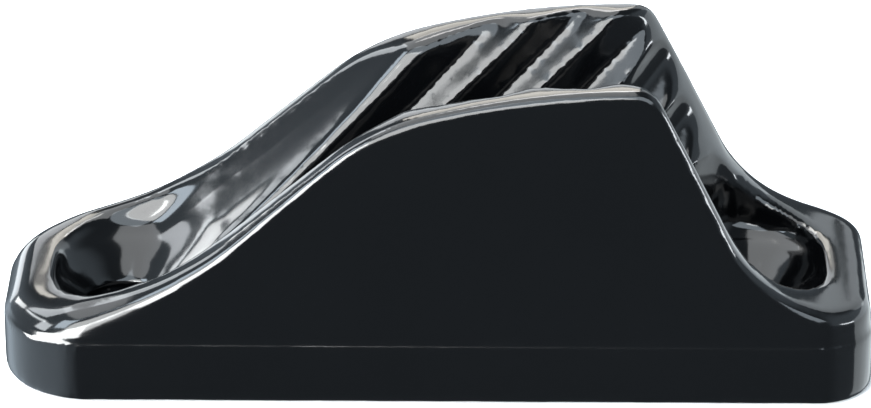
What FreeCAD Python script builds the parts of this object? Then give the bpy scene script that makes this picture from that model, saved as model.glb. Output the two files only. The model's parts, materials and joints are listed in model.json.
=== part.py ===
"""Jam cleat moulded in one piece: two drafted cheeks with a fluted V groove between them, a long
chute that leads the line down to one screw pocket and a steep mouth above the other.

Millimetres, +Z up. The origin is the middle of the flat base, +X points to the steep end and the
cleat is symmetric about the XZ plane.
"""
import FreeCAD, Part
import math
import os

V = FreeCAD.Vector

# Overall block
length = 65.0
width = 20.0
height = 24.65
band_height = 4.6
band_step = 0.12
side_draft = 4.3
corner_radius_lead = 0.1077 * length
corner_radius_steep = 0.0677 * length

# Side outline, from the lead end to the steep end; each reach is the length of a corner's
# straight sides that its rounding takes
lead_deck_height = 6.45
deck_slope = 3.5
foot_start_x = -0.44 * length
ramp_foot_x = -0.2969 * length
ramp_foot_z = 0.3788 * height
shoulder_x = -0.0731 * length
shoulder_z = 0.8812 * height
crown_x = 0.1077 * length
peak_corner_x = 0.2457 * length
steep_foot_x = 0.3585 * length
steep_foot_z = 0.3822 * height
tail_end_x = 0.4446 * length
tail_end_z = 7.18
foot_start_reach = 0.0134 * length
ramp_foot_reach = 0.0868 * length
shoulder_reach = 0.0656 * length
crown_reach = 0.1131 * length
peak_reach = 0.0203 * length
steep_foot_reach = 0.0652 * length
tail_end_reach = 0.0198 * length

# V groove between the cheeks
groove_top_z = height - 0.65
groove_top_half_width = 0.2975 * width
groove_floor_z = 6.5
groove_floor_half_width = 0.03 * width
groove_floor_radius = 0.5

# Slanted flutes in both walls of the groove
flute_count = 5
flute_slope = 44.0
flute_pitch = 0.0885 * length
flute_depth = 0.95
flute_first_crest = -0.3585 * length
flute_valley_share = 0.56
flute_valley_radius = 0.6
flute_crest_depth = 0.04

# Chute from the groove down to the lead pocket, where it levels out along a round foot
chute_half_width = 0.4 * width
chute_side_radius = chute_half_width - 0.4
chute_depth = chute_side_radius + 0.1
chute_rise = 3.7
chute_floor_z = 5.85
chute_foot_radius = 9.0
chute_end_x = -0.3615 * length
chute_end_depth = 1.4
chute_end_side_radius = 1.3
chute_foot_steps = 5

# Steep mouth above the other pocket, where the last two flutes end as scallops
mouth_turn = 70.0
mouth_foot_z = 0.426 * height
mouth_half_widths = [(0.241 * height, 0.3425 * width), (mouth_foot_z, 0.3425 * width),
                     (0.568 * height, 0.39 * width), (1.081 * height, 0.415 * width)]
scallop_heights = [0.811 * height, 0.637 * height]
scallop_turn = 38.0
scallop_slope = 40.0
scallop_radius = 2.5
scallop_depth = 0.8

# Screw pockets
screw_spacing = 0.72615 * length
pocket_half_width = 0.3425 * width
pocket_end_x = 0.4477 * length
pocket_start_x = 0.3785 * length
pocket_corner_radius = 0.083 * length
pocket_waist_x = 0.3323 * length
pocket_inner_x = 0.2785 * length
pocket_inner_half_width = 2.5
pocket_waist_radius = 0.0538 * length
pocket_floor_z = 5.95
pocket_foot_bevel = 0.75
head_radius = 5.5
hole_radius = 2.9
countersink_angle = 45.0
countersink_top = 1.6

# Rounding of the outer top edge, as X and radius from the lead end to the steep end
outer_radii = [(-0.508 * length, 2.6), (-0.392 * length, 2.3), (-0.231 * length, 0.95),
              (-0.123 * length, 0.8), (0.0, 0.5), (0.331 * length, 0.5),
              (0.418 * length, 0.8), (0.508 * length, 1.2)]

over = 8.0


def slope_of(angle):
    return math.tan(math.radians(angle))


def read_between(stations, place):
    """Value at a place, read along straight lines between the stations."""
    for (x0, v0), (x1, v1) in zip(stations, stations[1:]):
        if place <= x1:
            return v0 + (v1 - v0) * (place - x0) / (x1 - x0)
    return stations[-1][1]


def rounded_chain(points, radii):
    """Edges of a polyline whose inner corners are rounded; a radius of 0 keeps the corner."""
    edges = []
    start = points[0]
    for before, corner, after, radius in zip(points, points[1:], points[2:], radii):
        back = (before - corner).normalize()
        ahead = (after - corner).normalize()
        half = back.getAngle(ahead) / 2
        if radius <= 0:
            edges.append(Part.makeLine(start, corner))
            start = corner
            continue
        reach = radius / math.tan(half)
        first = corner + back * reach
        last = corner + ahead * reach
        bisector = (back + ahead).normalize()
        middle = corner + bisector * (radius / math.sin(half) - radius)
        if (first - start).Length > 1e-6:
            edges.append(Part.makeLine(start, first))
        edges.append(Part.Arc(first, middle, last).toShape())
        start = last
    edges.append(Part.makeLine(start, points[-1]))
    return edges


def side_corners():
    """Corner points of the side outline, from the lead end to the steep end."""
    end_x = length / 2 + over
    fall = slope_of(deck_slope)
    foot_start_z = lead_deck_height + (foot_start_x + length / 2) * fall
    return [
        V(-end_x, 0, lead_deck_height - over * fall),
        V(foot_start_x, 0, foot_start_z),
        V(ramp_foot_x, 0, ramp_foot_z),
        V(shoulder_x, 0, shoulder_z),
        V(crown_x, 0, height),
        V(peak_corner_x, 0, height),
        V(steep_foot_x, 0, steep_foot_z),
        V(tail_end_x, 0, tail_end_z),
        V(end_x, 0, tail_end_z - (end_x - tail_end_x) * fall),
    ]


def side_prism():
    """Everything under the side outline, wider than the cleat."""
    corners = side_corners()
    reaches = [foot_start_reach, ramp_foot_reach, shoulder_reach, crown_reach,
               peak_reach, steep_foot_reach, tail_end_reach]
    radii = []
    for before, corner, after, reach in zip(corners, corners[1:], corners[2:], reaches):
        half = (before - corner).getAngle(after - corner) / 2
        radii.append(reach * math.tan(half))
    edges = rounded_chain(corners, radii)
    low_left = V(corners[0].x, 0, -over)
    low_right = V(corners[-1].x, 0, -over)
    edges.append(Part.makeLine(corners[-1], low_right))
    edges.append(Part.makeLine(low_right, low_left))
    edges.append(Part.makeLine(low_left, corners[0]))
    face = Part.Face(Part.Wire(edges))
    face.translate(V(0, -width, 0))
    return face.extrude(V(0, 2 * width, 0))


def plan_wire(grow, z):
    """Rounded plan outline of the cleat, grown all round, at height z."""
    half_x = length / 2 + grow
    half_y = width / 2 + grow
    lead = corner_radius_lead + grow
    steep = corner_radius_steep + grow
    start = V(half_x - steep, -half_y, z)
    points = [start, V(half_x, -half_y, z), V(half_x, half_y, z),
              V(-half_x, half_y, z), V(-half_x, -half_y, z), start]
    return Part.Wire(rounded_chain(points, [steep, steep, lead, lead]))


def upper_body():
    """Both cheeks and decks above the parting line, with the groove still solid."""
    draft = slope_of(side_draft)
    top = height + 1.0
    low = plan_wire(band_height * draft - band_step, 0.0)
    high = plan_wire(-(top - band_height) * draft - band_step, top)
    block = Part.makeLoft([low, high], True, True)
    return block.common(side_prism())


def base_band():
    return Part.Face(plan_wire(0.0, 0.0)).extrude(V(0, 0, band_height))



def on_outer_edge(edge):
    """True for an edge where the top of the cleat meets its drafted sides."""
    box = edge.BoundBox
    across = box.XLength < 1e-6 and abs(box.XMin) < length / 2 - 1.0
    return box.ZMin > band_height and not across


def round_outer_edge(body):
    """Body with its outer top edge rounded by a radius that changes along X."""
    document = FreeCAD.newDocument("rounding")
    base = document.addObject("Part::Feature", "base")
    base.Shape = body
    fillet = document.addObject("Part::Fillet", "fillet")
    fillet.Base = base
    picked = []
    for number, edge in enumerate(body.Edges, 1):
        if on_outer_edge(edge):
            first = read_between(outer_radii, edge.firstVertex(False).X)
            last = read_between(outer_radii, edge.lastVertex(False).X)
            picked.append((number, first, last))
    fillet.Edges = picked
    document.recompute()
    shape = fillet.Shape.copy()
    FreeCAD.closeDocument("rounding")
    return shape


def box_between(x0, x1, y0, y1, z0, z1):
    return Part.makeBox(x1 - x0, y1 - y0, z1 - z0, V(x0, y0, z0))


def above(shape, z):
    """Part of a cutter that lies above z."""
    return shape.common(box_between(-2 * length, 2 * length, -2 * width, 2 * width, z, 4 * height))


def groove_lean():
    """Outward run of the groove walls for each unit of height, about 17 degrees."""
    return (groove_top_half_width - groove_floor_half_width) / (groove_top_z - groove_floor_z)


def groove_half_width(z):
    return groove_top_half_width - (groove_top_z - z) * groove_lean()


def v_groove():
    """Wedge between the screw centres, with a small round along each side of its floor."""
    top = height + over
    reach = screw_spacing / 2
    floor = groove_half_width(groove_floor_z)
    points = [V(-reach, -groove_half_width(top), top), V(-reach, -floor, groove_floor_z),
              V(-reach, floor, groove_floor_z), V(-reach, groove_half_width(top), top)]
    edges = rounded_chain(points, [groove_floor_radius, groove_floor_radius])
    edges.append(Part.makeLine(points[-1], points[0]))
    return Part.Face(Part.Wire(edges)).extrude(V(2 * reach, 0, 0))


def flutes():
    """Slanted scallops for the wall on the +Y side, as one cutter along the groove wall."""
    lean = groove_lean()
    inward = V(0, 1.0, -lean).normalize()
    along = V(1.0, slope_of(flute_slope) * lean, slope_of(flute_slope))
    base_z = groove_floor_z
    base = V(base_z + flute_first_crest, groove_half_width(base_z), base_z)
    step = V(flute_pitch, 0, 0)
    crest = inward * flute_crest_depth
    valley = step * flute_valley_share + inward * flute_depth
    points = [base - inward * 0.6]
    radii = []
    for number in range(flute_count):
        points.append(base + step * number + crest)
        radii.append(0)
        points.append(base + step * number + valley)
        radii.append(flute_valley_radius)
    points.append(base + step * flute_count + crest)
    radii.append(0)
    points.append(base + step * flute_count - inward * 0.6)
    edges = rounded_chain(points, radii)
    edges.append(Part.makeLine(points[-1], points[0]))
    face = Part.Face(Part.Wire(edges))
    face.translate(along * (-over))
    return above(face.extrude(along * (height + 2 * over)), groove_floor_z)


def chute_section(x, half_width, lip_z, depth, side_radius):
    """Upright section of the chute at x: an oval bottom with straight sides going up from its lip."""
    inset = half_width - side_radius
    bottom_radius = (inset ** 2 + depth ** 2 - side_radius ** 2) / (2 * (depth - side_radius))
    turn = math.asin(inset / (bottom_radius - side_radius))
    half = (math.pi / 2 + turn) / 2
    top_z = lip_z + height + over
    joints = []
    middles = []
    ends = []
    tops = []
    for side in (1, -1):
        hub_y = side * inset
        joints.append(V(x, hub_y + side * side_radius * math.sin(turn), lip_z - side_radius * math.cos(turn)))
        middles.append(V(x, hub_y + side * side_radius * math.sin(half), lip_z - side_radius * math.cos(half)))
        ends.append(V(x, side * half_width, lip_z))
        tops.append(V(x, side * half_width, top_z))
    return Part.Wire([
        Part.Arc(ends[0], middles[0], joints[0]).toShape(),
        Part.Arc(joints[0], V(x, 0, lip_z - depth), joints[1]).toShape(),
        Part.Arc(joints[1], middles[1], ends[1]).toShape(),
        Part.makeLine(ends[1], tops[1]),
        Part.makeLine(tops[1], tops[0]),
        Part.makeLine(tops[0], ends[0]),
    ])


def chute():
    """Round channel down the ramp that levels out over the lead pocket."""
    rise = (shoulder_z - ramp_foot_z) / (shoulder_x - ramp_foot_x)
    slope = math.atan(rise)
    foot_top_z = chute_floor_z + chute_foot_radius * (1 - math.cos(slope))
    foot_top_x = ramp_foot_x + (foot_top_z + chute_depth - chute_rise - ramp_foot_z) / rise
    foot_low_x = foot_top_x - chute_foot_radius * math.sin(slope)
    sections = []
    for step in range(chute_foot_steps + 1):
        share = step / chute_foot_steps
        x = chute_end_x + (foot_top_x - chute_end_x) * share
        run = max(0.0, x - foot_low_x)
        floor_z = chute_floor_z + chute_foot_radius - math.sqrt(chute_foot_radius ** 2 - run ** 2)
        blend = share * share * (3 - 2 * share)
        depth = chute_end_depth + (chute_depth - chute_end_depth) * blend
        radius = chute_end_side_radius + (chute_side_radius - chute_end_side_radius) * blend
        half_width = pocket_half_width + (chute_half_width - pocket_half_width) * blend
        sections.append(chute_section(x, half_width, floor_z + depth, depth, radius))
    top_x = foot_top_x + length / 2
    top_z = foot_top_z + chute_depth + (top_x - foot_top_x) * rise
    sections.append(chute_section(top_x, chute_half_width, top_z, chute_depth, chute_side_radius))
    return Part.makeLoft(sections, True, True)


def steep_face_x(z):
    """X of the steep end's straight slope at height z."""
    return peak_corner_x + (height - z) * (steep_foot_x - peak_corner_x) / (height - steep_foot_z)


def mouth_radius(z):
    spread = read_between(mouth_half_widths, z) - groove_half_width(z)
    return spread / (1 - math.cos(math.radians(mouth_turn)))


def mouth_section(z):
    """Level section of the steep mouth: the groove walls curl outward to the steep face."""
    half = groove_half_width(z)
    radius = mouth_radius(z)
    turn = math.radians(mouth_turn)
    start_x = steep_face_x(z) - radius * math.sin(turn)
    tail = V(math.cos(turn), math.sin(turn), 0)
    start = V(start_x, half, z)
    middle = start + V(radius * math.sin(turn / 2), radius * (1 - math.cos(turn / 2)), 0)
    end = start + V(radius * math.sin(turn), radius * (1 - math.cos(turn)), 0)
    out = end + tail * (over / tail.x)
    edges = [Part.Arc(start, middle, end).toShape(), Part.makeLine(end, out)]
    flip = [V(p.x, -p.y, p.z) for p in (start, middle, end, out)]
    edges.append(Part.makeLine(out, flip[3]))
    edges.append(Part.makeLine(flip[3], flip[2]))
    edges.append(Part.Arc(flip[2], flip[1], flip[0]).toShape())
    edges.append(Part.makeLine(flip[0], start))
    return Part.Wire(edges)


def steep_mouth():
    """Flare over the steep end; below the foot it keeps within the pocket."""
    horn = Part.makeLoft([mouth_section(z) for z, half_width in mouth_half_widths], True, True)
    low = box_between(0, pocket_start_x, -pocket_half_width, pocket_half_width, 0, height)
    return above(horn, mouth_foot_z).fuse(horn.common(low))


def scallop(z):
    """Round bite out of the +Y flare of the mouth, where a flute runs out at height z."""
    turn = math.radians(scallop_turn)
    radius = mouth_radius(z)
    hub_x = steep_face_x(z) - radius * math.sin(math.radians(mouth_turn))
    hub = V(hub_x, groove_half_width(z) + radius, z)
    outward = V(math.sin(turn), -math.cos(turn), groove_lean()).normalize()
    skin = hub + V(math.sin(turn), -math.cos(turn), 0) * radius
    along = V(math.cos(turn), math.sin(turn), slope_of(scallop_slope)).normalize()
    middle = skin + outward * (scallop_radius - scallop_depth)
    return Part.makeCylinder(scallop_radius, 2 * over, middle - along * over, along)


def pocket_outline():
    """Plan outline of the pocket at the steep end, at the height of its floor."""
    start = V(pocket_end_x, 0, pocket_floor_z)
    corners = [V(pocket_end_x, pocket_half_width, pocket_floor_z),
               V(pocket_waist_x, pocket_half_width, pocket_floor_z),
               V(pocket_inner_x, pocket_inner_half_width, pocket_floor_z)]
    others = [V(p.x, -p.y, p.z) for p in reversed(corners)]
    radii = [pocket_corner_radius, pocket_waist_radius, pocket_waist_radius]
    return Part.Wire(rounded_chain([start] + corners + others + [start], radii + radii[::-1]))


def pocket(side):
    """Screw pocket at one end, with a bevelled foot round its floor."""
    block = Part.Face(pocket_outline()).extrude(V(0, 0, height))
    foot = [edge for edge in block.Edges if edge.BoundBox.ZMax < pocket_floor_z + 1e-6]
    block = block.makeChamfer(pocket_foot_bevel, foot)
    if side < 0:
        block = block.mirror(V(0, 0, 0), V(1, 0, 0))
    return block


def screw_hole(x):
    """Countersink and hole; towards the groove the countersink rises into the channel's foot."""
    top = pocket_floor_z + 0.15
    lean = slope_of(countersink_angle)
    depth = (head_radius - hole_radius) / lean
    sink = Part.makeCone(hole_radius, head_radius, depth, V(x, 0, top - depth))
    tall = Part.makeCone(hole_radius, head_radius + countersink_top * lean, depth + countersink_top,
                         V(x, 0, top - depth))
    inner = box_between(min(0, x), max(0, x), -width, width, 0, height)
    hole = Part.makeCylinder(hole_radius, top + over, V(x, 0, -over))
    return sink.fuse(tall.common(inner)).fuse(hole)


cleat = above(round_outer_edge(upper_body()), band_height).fuse(base_band())
cleat = cleat.cut(v_groove())
cleat = cleat.cut(chute())
cleat = cleat.cut(steep_mouth())
near_flutes = flutes()
cleat = cleat.cut(near_flutes)
cleat = cleat.cut(near_flutes.mirror(V(0, 0, 0), V(0, 1, 0)))
for z in scallop_heights:
    bite = scallop(z)
    cleat = cleat.cut(bite).cut(bite.mirror(V(0, 0, 0), V(0, 1, 0)))
for side in (-1, 1):
    cleat = cleat.cut(pocket(side))
    cleat = cleat.cut(screw_hole(side * screw_spacing / 2))
print("valid", cleat.isValid(), "solids", len(cleat.Solids), "volume", round(cleat.Volume, 1))

os.makedirs("parts", exist_ok=True)
cleat.Solids[0].exportStep("parts/cleat_body.step")
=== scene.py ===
"""Jam cleat moulded in one piece of glossy black plastic, in a plain studio."""
import json
import math

import bpy
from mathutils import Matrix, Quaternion, Vector

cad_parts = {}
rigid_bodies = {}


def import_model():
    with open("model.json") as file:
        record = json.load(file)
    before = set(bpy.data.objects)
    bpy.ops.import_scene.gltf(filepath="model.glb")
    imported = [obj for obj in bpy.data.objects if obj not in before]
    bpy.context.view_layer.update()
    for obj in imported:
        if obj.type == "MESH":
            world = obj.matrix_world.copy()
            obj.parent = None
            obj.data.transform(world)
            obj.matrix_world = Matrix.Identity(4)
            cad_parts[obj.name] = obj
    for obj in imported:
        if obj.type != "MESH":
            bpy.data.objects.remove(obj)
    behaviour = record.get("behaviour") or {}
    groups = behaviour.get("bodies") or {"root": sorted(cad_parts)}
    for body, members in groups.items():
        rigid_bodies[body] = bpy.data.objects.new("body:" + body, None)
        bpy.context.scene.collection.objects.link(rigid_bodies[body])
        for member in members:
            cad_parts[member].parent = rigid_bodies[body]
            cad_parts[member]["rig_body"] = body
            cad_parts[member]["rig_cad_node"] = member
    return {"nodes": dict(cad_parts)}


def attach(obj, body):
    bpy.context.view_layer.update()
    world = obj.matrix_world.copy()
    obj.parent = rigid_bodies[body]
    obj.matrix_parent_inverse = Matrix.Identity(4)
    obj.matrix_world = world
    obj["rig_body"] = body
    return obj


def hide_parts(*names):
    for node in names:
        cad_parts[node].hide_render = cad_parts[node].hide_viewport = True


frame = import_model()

bl_info = {
    "name": "Jam cleat",
    "version": (1, 0, 0),
    "blender": (4, 5, 0),
    "location": "3D View > Sidebar > Jam cleat",
    "description": "Builds a moulded jam cleat around its CAD frame, with its studio",
    "category": "Object",
}

MM = 0.001
MERGE_DISTANCE = 1e-6
# Share of the way to its neighbours that a point of the skin goes in one smoothing pass
MELT_STEP = 0.5

# Places on the cleat, in mm. X runs from the lead end, where the ramp is, to the steep end, and
# Z runs up from the foot.
PARTING_HEIGHT = 4.6
# Rounded corner of the lead pocket in plan: its middle, mirrored in Y, and its radius
POCKET_CORNER = (-23.7, 1.45, 5.4)
# Crest between the lead chute and the first flute: its low end and its run to the top
CREST_START = (-16.8, 0.6, 6.5)
CREST_ALONG = (18.1, 5.3, 17.5)
# Half length and half width of what lies inside the outer walls
INSIDE_WALLS = (30.0, 7.5)

# Spans over which the melts come in, in mm: each goes from where there is none to where it is
# full. Heights are in Z, runs in X, and the others are distances.
PARTING_SPAN = (0.05, 0.55)
PARTING_LEAST = 0.15
CREST_SPAN = (1.6, 0.8)
DECK_FROM_LIP = (0.4, 0.9)
DECK_HEIGHT = (5.2, 5.6)
DECK_RUN = (-19.0, -22.0)
LIP_SPAN = (1.2, 0.7)
LIP_HEIGHT = (4.0, 4.8)
LIP_RUN = (-16.5, -18.5)
BOWL_SIDES = (6.0, 5.0)
BOWL_HEIGHT = (4.6, 5.4)
BOWL_TOP = 13.0
BOWL_OUTER_RUN = (-27.5, -26.0)
BOWL_INNER_RUN = (-14.0, -17.0)
# Low down, the lead bowl's melt reaches this much further to the sides
LEAD_BOWL_WIDENING = 1.6
LEAD_BOWL_LOW = (11.0, 9.5)
FLUTES_FROM_MIDDLE = (0.8, 1.4)
FLUTES_FROM_LIP = (7.4, 6.6)
FLUTES_FOOT = (7.0, 8.0)
FLUTES_TOP = (23.9, 23.4)
FLUTES_LEAD_RUN = (-16.5, -15.0)
FLUTES_STEEP_RUN = (15.5, 14.0)

# The plastic's three patterns, as noise scales for metres, and how far they move its tone, its
# roughness and its relief
CLOUD_SCALE = 90.0
RIPPLE_SCALE = 160.0
GRAIN_SCALE = 1400.0
TONE_SPREAD = 0.2
GLOSS_SPREAD = 0.03
RIPPLE_IN_RELIEF = 0.7
RELIEF_DEPTH = 0.1 * MM
RELIEF_STRENGTH = 0.04

# The photograph's camera aims here, in mm
CAMERA_AIM = (-0.16, 0.0, 11.63)
SENSOR_WIDTH = 36.0
CAMERA_CLIP = (0.01, 20.0)

FLOOR_SIZE = 4.0
FLOOR_DROP = 0.1 * MM
FLOOR_CLOUD_SCALE = 6.0
FLOOR_ROUGHNESS = 0.55
FLOOR_ROUGHNESS_SPREAD = 0.1
FLOOR_SHINE = 0.2

# Soft panels that stand round the cleat: name, azimuth and elevation of the middle, width,
# height and turn, all in degrees as seen from the cleat, brightness and colour. Azimuth 0 is
# behind the cleat and -90 is at its lead end.
PANELS = (
    ("lead_back_strip", -50.0, 15.7, 6.8, 20.0, -43.9, 10.24, (0.97, 0.99, 1.0)),
    ("lead_front_window", -122.7, 2.5, 70.8, 23.4, 23.6, 26.62, (0.98, 1.0, 1.0)),
    ("front_slanted_strip", -160.8, 20.9, 50.1, 18.2, -23.3, 11.95, (0.98, 1.0, 1.0)),
    ("lead_front_high", -124.9, 32.5, 18.1, 18.0, 0.8, 11.18, (0.85, 0.98, 1.1)),
    ("back_panel", -6.9, 36.8, 33.8, 21.6, -7.7, 5.69, (1.0, 0.96, 0.88)),
    ("back_low_lead", -6.5, 15.0, 31.0, 17.2, -11.7, 2.45, (0.97, 1.0, 1.03)),
    ("back_low_steep", 30.0, 29.7, 36.5, 24.2, 12.1, 1.47, (0.92, 1.0, 1.05)),
    ("steep_side_glow", 62.1, -9.1, 68.3, 58.2, 11.9, 1.81, (0.92, 1.0, 1.04)),
    ("front_steep_high", 178.0, 33.2, 33.9, 60.0, 48.0, 4.11, (0.88, 1.0, 1.1)),
    ("lead_high_strip", -65.1, 40.8, 30.1, 22.2, 27.5, 8.35, (0.95, 1.0, 1.04)),
    ("lead_low_band", -77.6, 26.9, 33.4, 3.0, 9.1, 13.61, (0.96, 1.0, 1.03)),
    ("back_high_strip", -9.3, 57.0, 62.6, 8.9, 39.0, 9.60, (1.0, 0.98, 0.95)),
    ("lead_mid_panel", -100.7, 22.3, 19.3, 11.0, -7.0, 12.07, (0.95, 1.0, 1.04)),
    ("back_floor_glow", -29.1, -1.4, 19.7, 10.4, 18.6, 3.08, (0.95, 1.0, 1.04)),
    ("steep_end_window", 109.7, 6.3, 25.9, 4.1, -3.1, 22.16, (0.95, 1.0, 1.04)),
)
# Where the panels look, and how far off they stand, in metres
PANEL_AIM = (0.0, 0.0, 0.012)
PANEL_DISTANCE = 0.7

# The large softbox over the lead half: middle, size along X and Y, brightness and colour
OVERHEAD_PLACE = (-0.228, 0.099, 0.66)
OVERHEAD_SIZE = (0.57, 1.09)
OVERHEAD_BRIGHTNESS = 3.75
OVERHEAD_COLOUR = (0.95, 0.98, 1.0)

# The room's light: its colour, its glow from all round, what each end adds to it, and what the
# pale floor adds or takes below the horizon there. The spans are parts of a view direction.
ROOM_COLOUR = (0.84, 1.0, 1.14, 1.0)
ROOM_GLOW = 0.22
LEAD_GLOW = 0.59
STEEP_GLOW = 0.69
LEAD_FLOOR_GLOW = 0.91
STEEP_FLOOR_SHADE = 0.56
BELOW_HORIZON = (0.06, -0.06)
LEAD_SIDE = (-0.30, -0.70)
STEEP_SIDE = (0.40, 0.75)


def deselect_all():
    for obj in bpy.context.selected_objects:
        obj.select_set(False)


def activate(obj):
    deselect_all()
    obj.select_set(True)
    bpy.context.view_layer.objects.active = obj


class Socket:
    """A node socket that takes part in ordinary sums, so shader maths reads as Python."""

    def __init__(self, shader, link):
        self.shader = shader
        self.link = link

    def beside(self, name):
        """Another output of the same node."""
        return Socket(self.shader, self.link.node.outputs[name])

    def _maths(self, operation, first, second):
        return self.shader.node("ShaderNodeMath", {"operation": operation}, {0: first, 1: second})

    def __add__(self, other):
        return self._maths("ADD", self, other)

    __radd__ = __add__

    def __mul__(self, other):
        return self._maths("MULTIPLY", self, other)

    __rmul__ = __mul__

    def __sub__(self, other):
        return self._maths("SUBTRACT", self, other)

    def __rsub__(self, other):
        return self._maths("SUBTRACT", other, self)


class Shader:
    """The node tree of a material or a world, with a single way to add a node to it."""

    def __init__(self, owner, surface):
        owner.use_nodes = True
        self.owner = owner
        self.tree = owner.node_tree
        self.surface = self.tree.nodes[surface]

    def node(self, kind, settings, inputs, output=0):
        made = self.tree.nodes.new(kind)
        for key, value in settings.items():
            setattr(made, key, value)
        for key, value in inputs.items():
            self.feed(made.inputs[key], value)
        return Socket(self, made.outputs[output])

    def feed(self, socket, value):
        if isinstance(value, Socket):
            self.tree.links.new(value.link, socket)
        else:
            socket.default_value = value

    def set(self, **values):
        for key, value in values.items():
            self.feed(self.surface.inputs[key.replace("_", " ")], value)

    def noise(self, place, scale, detail):
        return self.node("ShaderNodeTexNoise", {},
                         {"Vector": place, "Scale": scale, "Detail": detail})


def new_material(name):
    return Shader(bpy.data.materials.new(name), "Principled BSDF")


def moulded_plastic(look):
    """Glossy black moulding: faint unevenness in its gloss and a very shallow ripple."""
    shader = new_material("black_moulding")
    place = shader.node("ShaderNodeTexCoord", {}, {}, output="Object")
    cloud = shader.noise(place, CLOUD_SCALE, detail=3.0)
    grain = shader.noise(place, GRAIN_SCALE, detail=2.0)
    ripple = shader.noise(place, RIPPLE_SCALE, detail=1.0)
    dark = tuple(part * (1 - TONE_SPREAD) for part in look.plastic_colour) + (1.0,)
    light = tuple(part * (1 + TONE_SPREAD) for part in look.plastic_colour) + (1.0,)
    # The colour mix has its factor, first and second colour at inputs 0, 6 and 7
    tone = shader.node("ShaderNodeMix", {"data_type": "RGBA"}, {0: cloud, 6: dark, 7: light},
                       output=2)
    relief = shader.node("ShaderNodeBump", {}, {
        "Height": ripple * RIPPLE_IN_RELIEF + grain * (1 - RIPPLE_IN_RELIEF),
        "Strength": RELIEF_STRENGTH, "Distance": RELIEF_DEPTH})
    shader.set(Base_Color=tone, Normal=relief, IOR=look.plastic_ior,
               Roughness=look.gloss_roughness + cloud * GLOSS_SPREAD + grain * GLOSS_SPREAD)
    return shader.owner


def pale_floor(look):
    """Matt floor that hardly mirrors anything, with a faint unevenness."""
    shader = new_material("pale_floor")
    place = shader.node("ShaderNodeTexCoord", {}, {}, output="Object")
    cloud = shader.noise(place, FLOOR_CLOUD_SCALE, detail=2.0)
    shader.set(Base_Color=tuple(look.floor_colour) + (1.0,), Specular_IOR_Level=FLOOR_SHINE,
               Roughness=FLOOR_ROUGHNESS + cloud * FLOOR_ROUGHNESS_SPREAD)
    return shader.owner


def fade(value, span):
    """Share that goes straight from 0 at the span's first number to 1 at its second."""
    nothing, full = span
    return min(max((value - nothing) / (full - nothing), 0.0), 1.0)


def past_lead_lip(x, y):
    """How far a place in plan is outside the lead pocket's lip, and below nothing inside it."""
    hub_x, hub_y, lip_radius = POCKET_CORNER
    return math.hypot(max(hub_x - x, 0.0), max(abs(y) - hub_y, 0.0)) - lip_radius


def parting_weight(x, y, z):
    """A little on the parting step round the outside, full everywhere else."""
    half_length, half_width = INSIDE_WALLS
    if abs(x) < half_length and abs(y) < half_width:
        return 1.0
    return max(fade(abs(z - PARTING_HEIGHT), PARTING_SPAN), PARTING_LEAST)


def crest_weight(x, y, z):
    """Full on the crest between the lead chute and the first flute, nothing off it."""
    start, along = Vector(CREST_START), Vector(CREST_ALONG)
    offset = Vector((x, abs(y), z)) - start
    run = min(max(offset.dot(along) / along.length_squared, 0.0), 1.0)
    return fade((offset - along * run).length, CREST_SPAN)


def deck_weight(x, y, z):
    """Full on the lead deck and its outer rounding, nothing on the pocket's lip."""
    return fade(past_lead_lip(x, y), DECK_FROM_LIP) * fade(z, DECK_HEIGHT) * fade(x, DECK_RUN)


def lip_weight(x, y, z):
    """Full on the lip round either pocket, nothing off it."""
    x = -abs(x)
    return fade(abs(past_lead_lip(x, y)), LIP_SPAN) * fade(z, LIP_HEIGHT) * fade(x, LIP_RUN)


def bowl_weight(x, y, z):
    """Full inside either pocket above its screw hole, nothing at the far ends and the top."""
    if z > BOWL_TOP:
        return 0.0
    widened = LEAD_BOWL_WIDENING * fade(z, LEAD_BOWL_LOW) if x < 0.0 else 0.0
    x = -abs(x)
    return (fade(abs(y) - widened, BOWL_SIDES) * fade(z, BOWL_HEIGHT)
            * fade(x, BOWL_OUTER_RUN) * fade(x, BOWL_INNER_RUN))


def flute_weight(x, y, z):
    """Full on the fluted groove walls, nothing at the lips above them."""
    across = fade(abs(y), FLUTES_FROM_MIDDLE) * fade(abs(y), FLUTES_FROM_LIP)
    up = fade(z, FLUTES_FOOT) * fade(z, FLUTES_TOP)
    return across * up * fade(x, FLUTES_LEAD_RUN) * fade(x, FLUTES_STEEP_RUN)


def apply_new(body, kind, name, **settings):
    """Add a modifier with those settings and apply it."""
    modifier = body.modifiers.new(name, kind)
    for key, value in settings.items():
        setattr(modifier, key, value)
    bpy.ops.object.modifier_apply(modifier=name)


def weigh(body, name, weight):
    """Vertex group whose weights are a function of place in millimetres."""
    group = body.vertex_groups.new(name=name)
    for vertex in body.data.vertices:
        value = weight(*(vertex.co / MM))
        if value > 0.0:
            group.add([vertex.index], value, "REPLACE")


def melt(body, name, passes, group):
    """Smooth the skin in that many passes, as far as the vertex group lets it."""
    apply_new(body, "CORRECTIVE_SMOOTH", name, use_only_smooth=True, iterations=passes,
              factor=MELT_STEP, vertex_group=group)


def melt_near(body, name, passes, weight):
    """Smooth the skin further where that weight, a function of millimetres, is above nothing."""
    weigh(body, name, weight)
    melt(body, name, passes, name)
    body.vertex_groups.clear()


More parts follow.
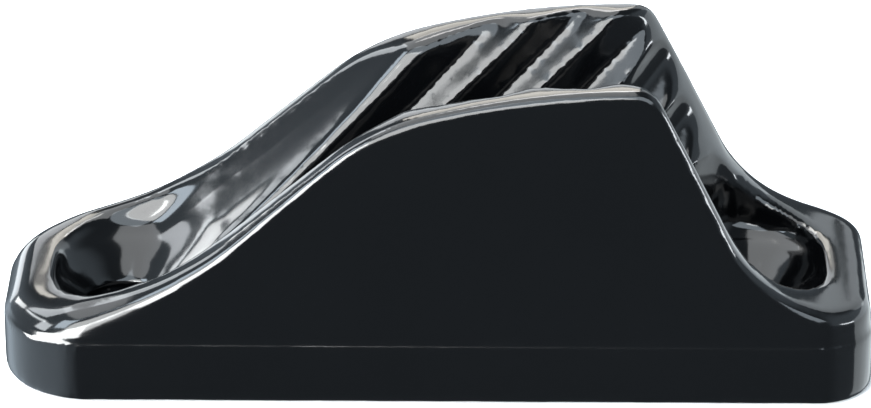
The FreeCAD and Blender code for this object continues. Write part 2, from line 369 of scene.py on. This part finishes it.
def copy_of_node(node, name):
    """Copy of a CAD node that is a free piece, with its loose triangles merged."""
    body = frame["nodes"][node].copy()
    body.data = body.data.copy()
    body.name = name
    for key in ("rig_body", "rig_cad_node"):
        if key in body:
            del body[key]
    body.parent = None
    bpy.context.scene.collection.objects.link(body)
    activate(body)
    bpy.ops.object.mode_set(mode="EDIT")
    bpy.ops.mesh.select_all(action="SELECT")
    bpy.ops.mesh.remove_doubles(threshold=MERGE_DISTANCE)
    bpy.ops.object.mode_set(mode="OBJECT")
    return body


def drop_specks(body):
    """Delete the loose specks that the voxel skin leaves, keeping all that joins the far end."""
    far_end = max(body.data.vertices, key=lambda vertex: abs(vertex.co.x)).index
    bpy.ops.object.mode_set(mode="EDIT")
    bpy.ops.mesh.select_mode(type="VERT")
    bpy.ops.mesh.select_all(action="DESELECT")
    bpy.ops.object.mode_set(mode="OBJECT")
    body.data.vertices[far_end].select = True
    bpy.ops.object.mode_set(mode="EDIT")
    bpy.ops.mesh.select_linked()
    bpy.ops.mesh.select_all(action="INVERT")
    bpy.ops.mesh.delete(type="VERT")
    bpy.ops.object.mode_set(mode="OBJECT")


class CleatLook(bpy.types.PropertyGroup):
    voxel: bpy.props.FloatProperty(
        name="Surface step", description="Spacing of the smooth surface mesh",
        default=0.00018, min=0.0001, max=0.001, subtype="DISTANCE", unit="LENGTH", precision=5)
    first_passes: bpy.props.IntProperty(
        name="First passes", description="Smoothing passes before the flat areas are thinned",
        default=4, min=0, max=60)
    kept_share: bpy.props.FloatProperty(
        name="Kept share", description="Share of the skin's triangles kept; flat areas go first",
        default=0.42, min=0.1, max=1.0, subtype="FACTOR")
    smoothing: bpy.props.IntProperty(
        name="Smoothing passes", description="Passes that melt the mould's sharp edges",
        default=12, min=0, max=60)
    deck_passes: bpy.props.IntProperty(
        name="Deck passes", description="Further passes that blend the lead deck and its rounding",
        default=60, min=0, max=200)
    crest_passes: bpy.props.IntProperty(
        name="Crest passes", description="Further passes that round the first crest",
        default=40, min=0, max=200)
    flute_passes: bpy.props.IntProperty(
        name="Flute passes", description="Further passes that even out the fluted walls",
        default=24, min=0, max=200)
    bowl_passes: bpy.props.IntProperty(
        name="Bowl passes", description="Further passes that melt the creases in the pockets",
        default=60, min=0, max=200)
    lip_passes: bpy.props.IntProperty(
        name="Lip passes", description="Further passes that even out the lips of the pockets",
        default=20, min=0, max=200)
    plastic_colour: bpy.props.FloatVectorProperty(
        name="Plastic colour", description="Colour of the black moulding",
        default=(0.0008, 0.0009, 0.0011), min=0.0, max=1.0, subtype="COLOR")
    gloss_roughness: bpy.props.FloatProperty(
        name="Gloss roughness", description="Roughness of the moulded surface",
        default=0.07, min=0.0, max=1.0, subtype="FACTOR")
    plastic_ior: bpy.props.FloatProperty(
        name="Refractive index", description="Refractive index of the plastic",
        default=1.48, min=1.0, max=2.0)


class StudioLook(bpy.types.PropertyGroup):
    floor_colour: bpy.props.FloatVectorProperty(
        name="Floor colour", description="Colour of the plain floor",
        default=(0.9, 0.9, 0.9), min=0.0, max=1.0, subtype="COLOR")
    camera_azimuth: bpy.props.FloatProperty(
        name="Camera azimuth", description="Direction the camera looks from",
        default=math.radians(0.67), subtype="ANGLE", unit="ROTATION")
    camera_elevation: bpy.props.FloatProperty(
        name="Camera elevation", description="Height of the camera above the horizon",
        default=math.radians(25.92), subtype="ANGLE", unit="ROTATION")
    camera_distance: bpy.props.FloatProperty(
        name="Camera distance", description="Distance from the camera to its target",
        default=0.388, subtype="DISTANCE", unit="LENGTH")
    lens: bpy.props.FloatProperty(
        name="Lens", description="Focal length on a 36 mm sensor", default=214.1, min=10.0)


class CLEAT_OT_body(bpy.types.Operator):
    """Make the smooth glossy body of the cleat around its CAD solid"""
    bl_idname = "cleat.body"
    bl_label = "Cleat body"

    def execute(self, context):
        look = context.scene.cleat_look
        body = copy_of_node("cleat_body", "cleat_moulding")
        apply_new(body, "REMESH", "skin", mode="VOXEL", voxel_size=look.voxel)
        weigh(body, "skin", parting_weight)
        melt(body, "first", look.first_passes, "skin")
        apply_new(body, "DECIMATE", "thin", ratio=look.kept_share)
        melt(body, "second", look.smoothing, "skin")
        body.vertex_groups.clear()
        melt_near(body, "deck", look.deck_passes, deck_weight)
        melt_near(body, "crest", look.crest_passes, crest_weight)
        melt_near(body, "flutes", look.flute_passes, flute_weight)
        melt_near(body, "bowl", look.bowl_passes, bowl_weight)
        melt_near(body, "lips", look.lip_passes, lip_weight)
        drop_specks(body)
        bpy.ops.object.shade_smooth()
        body.data.materials.clear()
        body.data.materials.append(moulded_plastic(look))
        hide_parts("cleat_body")
        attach(body, "root")
        return {"FINISHED"}


def direction(azimuth, elevation):
    """Unit vector towards there: azimuth 0 is along +Y and 90 along +X, both in degrees."""
    a, e = math.radians(azimuth), math.radians(elevation)
    return Vector((math.sin(a) * math.cos(e), math.cos(a) * math.cos(e), math.sin(e)))


def area_lamp(name, place, aim, size, turn, brightness, colour):
    """Rectangular lamp whose face has that brightness, turned about its own axis."""
    lamp = bpy.data.lights.new(name, "AREA")
    lamp.shape = "RECTANGLE"
    lamp.size, lamp.size_y = size
    lamp.energy = brightness * math.pi * lamp.size * lamp.size_y
    lamp.color = colour
    holder = bpy.data.objects.new(name, lamp)
    bpy.context.scene.collection.objects.link(holder)
    holder.location = place
    facing = (aim - place).to_track_quat("-Z", "Y")
    holder.rotation_euler = (facing @ Quaternion((0.0, 0.0, 1.0), math.radians(turn))).to_euler()


def soft_panel(name, azimuth, elevation, width, height, turn, brightness, colour):
    """Lamp that covers that much of the view from the cleat."""
    aim = Vector(PANEL_AIM)
    across = math.radians(width) * math.cos(math.radians(elevation))
    size = (2 * PANEL_DISTANCE * math.tan(across / 2),
            2 * PANEL_DISTANCE * math.tan(math.radians(height) / 2))
    place = aim + direction(azimuth, elevation) * PANEL_DISTANCE
    area_lamp(name, place, aim, size, turn, brightness, colour)


def overhead_softbox():
    place = Vector(OVERHEAD_PLACE)
    area_lamp("overhead_softbox", place, place - Vector((0, 0, 1)), OVERHEAD_SIZE, 0.0,
              OVERHEAD_BRIGHTNESS, OVERHEAD_COLOUR)


def studio_air():
    """Dim room light, brighter at both ends of the cleat, with the pale floor's share below."""
    shader = Shader(bpy.data.worlds.new("studio_air"), "Background")
    view = shader.node("ShaderNodeTexCoord", {}, {}, output="Generated")
    x = shader.node("ShaderNodeSeparateXYZ", {}, {0: view}, output="X")
    z = x.beside("Z")

    def rise(value, span):
        start, end = span
        return shader.node("ShaderNodeMapRange", {"interpolation_type": "SMOOTHSTEP"},
                           {"Value": value, "From Min": start, "From Max": end})

    below, lead, steep = rise(z, BELOW_HORIZON), rise(x, LEAD_SIDE), rise(x, STEEP_SIDE)
    floor = below * (lead * LEAD_FLOOR_GLOW - steep * STEEP_FLOOR_SHADE)
    shader.set(Color=ROOM_COLOUR,
               Strength=ROOM_GLOW + lead * LEAD_GLOW + steep * STEEP_GLOW + floor)
    return shader.owner


def studio_floor(look):
    """Plain floor just under the cleat's foot, which the glossy plastic doesn't mirror."""
    deselect_all()
    bpy.ops.mesh.primitive_grid_add(x_subdivisions=8, y_subdivisions=8, size=FLOOR_SIZE,
                                    location=(0, 0, -FLOOR_DROP))
    floor = bpy.context.object
    floor.name = "studio_floor"
    floor.data.materials.append(pale_floor(look))
    floor.visible_glossy = False


def photo_camera(look):
    """Camera at the photograph's angle, whose azimuth 0 is square to the cleat's front."""
    camera = bpy.data.cameras.new("photo_camera")
    camera.sensor_width = SENSOR_WIDTH
    camera.lens = look.lens
    camera.clip_start, camera.clip_end = CAMERA_CLIP
    holder = bpy.data.objects.new("photo_camera", camera)
    bpy.context.scene.collection.objects.link(holder)
    a, e = look.camera_azimuth, look.camera_elevation
    back = Vector((math.sin(a) * math.cos(e), -math.cos(a) * math.cos(e), math.sin(e)))
    holder.location = Vector(CAMERA_AIM) * MM + back * look.camera_distance
    holder.rotation_mode = "QUATERNION"
    holder.rotation_quaternion = (-back).to_track_quat("-Z", "Y")
    return holder


class CLEAT_OT_studio(bpy.types.Operator):
    """Set the floor, the soft lights and the camera"""
    bl_idname = "cleat.studio"
    bl_label = "Studio"

    def execute(self, context):
        look = context.scene.studio_look
        studio_floor(look)
        context.scene.world = studio_air()
        overhead_softbox()
        for panel in PANELS:
            soft_panel(*panel)
        context.scene.camera = photo_camera(look)
        context.scene.view_settings.view_transform = "Standard"
        return {"FINISHED"}


class CLEAT_PT_panel(bpy.types.Panel):
    """Buttons that build the cleat and its studio"""
    bl_idname = "CLEAT_PT_panel"
    bl_label = "Jam cleat"
    bl_space_type = "VIEW_3D"
    bl_region_type = "UI"
    bl_category = "Jam cleat"

    def draw(self, context):
        column = self.layout.column()
        column.operator("cleat.body")
        column.operator("cleat.studio")


CLASSES = (CleatLook, StudioLook, CLEAT_OT_body, CLEAT_OT_studio, CLEAT_PT_panel)


def register():
    for cls in CLASSES:
        bpy.utils.register_class(cls)
    bpy.types.Scene.cleat_look = bpy.props.PointerProperty(type=CleatLook)
    bpy.types.Scene.studio_look = bpy.props.PointerProperty(type=StudioLook)


def unregister():
    del bpy.types.Scene.cleat_look
    del bpy.types.Scene.studio_look
    for cls in reversed(CLASSES):
        bpy.utils.unregister_class(cls)


def main():
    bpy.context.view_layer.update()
    register()
    bpy.ops.cleat.body()
    bpy.ops.cleat.studio()


if __name__ == "__main__":
    main()
